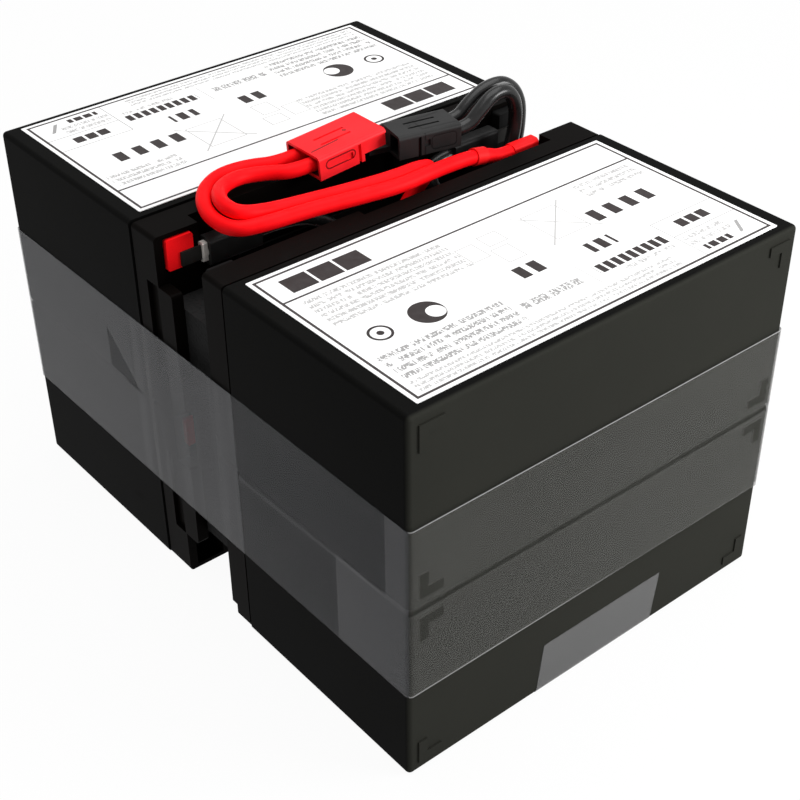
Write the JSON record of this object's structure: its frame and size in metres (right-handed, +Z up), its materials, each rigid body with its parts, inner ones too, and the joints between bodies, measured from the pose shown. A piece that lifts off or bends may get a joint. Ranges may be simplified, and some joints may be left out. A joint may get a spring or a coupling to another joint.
{
  "type": "ups battery cartridge",
  "caption": "Battery cartridge: two stacks of sealed lead-acid blocks with lids facing across a gap, banded with stretch film, red and grey leads joined by a plug pair on top.",
  "frame": {"origin": "centre of the bottom, on the surface the pack stands on", "axes": "+Z up, +Y from the near stack to the far stack across the gap, +X along the blocks towards the near stack's positive end"},
  "size_m": [0.1514, 0.2124, 0.1474],
  "materials": {
    "jar_black": "satin",
    "lid_black": "matte",
    "vent_black": "matte",
    "terminal_red": "satin",
    "terminal_black": "satin",
    "tinned_brass": "bright tin plate",
    "sleeve_red": "satin",
    "sleeve_black": "satin",
    "foam_grey": "matte closed-cell foam",
    "film_clear_grey": "thin stretch film",
    "strip_clear": "thin clear strip",
    "label_white": "coated",
    "housing_red": "satin",
    "housing_grey": "satin",
    "lead_red": "soft satin",
    "lead_grey": "soft satin",
    "lead_black": "soft satin"
  },
  "bodies": {
    "root": {"black_sleeves": "sleeve_black", "blade_receptacles": "tinned_brass", "bottom_strip": "strip_clear", "far_label": "label_white", "far_link_lead": "lead_black", "far_lower_blades": "tinned_brass", "far_lower_case": "jar_black", "far_lower_lid": "lid_black", "far_lower_negative_base": "terminal_black", "far_lower_positive_base": "terminal_red", "far_lower_vent_cover": "vent_black", "far_upper_blades": "tinned_brass", "far_upper_case": "jar_black", "far_upper_lid": "lid_black", "far_upper_negative_base": "terminal_black", "far_upper_positive_base": "terminal_red", "far_upper_vent_cover": "vent_black", "film_band": "film_clear_grey", "grey_housing": "housing_grey", "grey_lead_a": "lead_grey", "grey_lead_b": "lead_grey", "left_spacer": "foam_grey", "near_label": "label_white", "near_link_lead": "lead_black", "near_lower_blades": "tinned_brass", "near_lower_case": "jar_black", "near_lower_lid": "lid_black", "near_lower_negative_base": "terminal_black", "near_lower_positive_base": "terminal_red", "near_lower_vent_cover": "vent_black", "near_upper_blades": "tinned_brass", "near_upper_case": "jar_black", "near_upper_lid": "lid_black", "near_upper_negative_base": "terminal_black", "near_upper_positive_base": "terminal_red", "near_upper_vent_cover": "vent_black", "red_collar": "sleeve_red", "red_housing": "housing_red", "red_lead_a": "lead_red", "red_lead_b": "lead_red", "red_sleeve": "sleeve_red", "right_spacer": "foam_grey"}
  },
  "joints": []
}
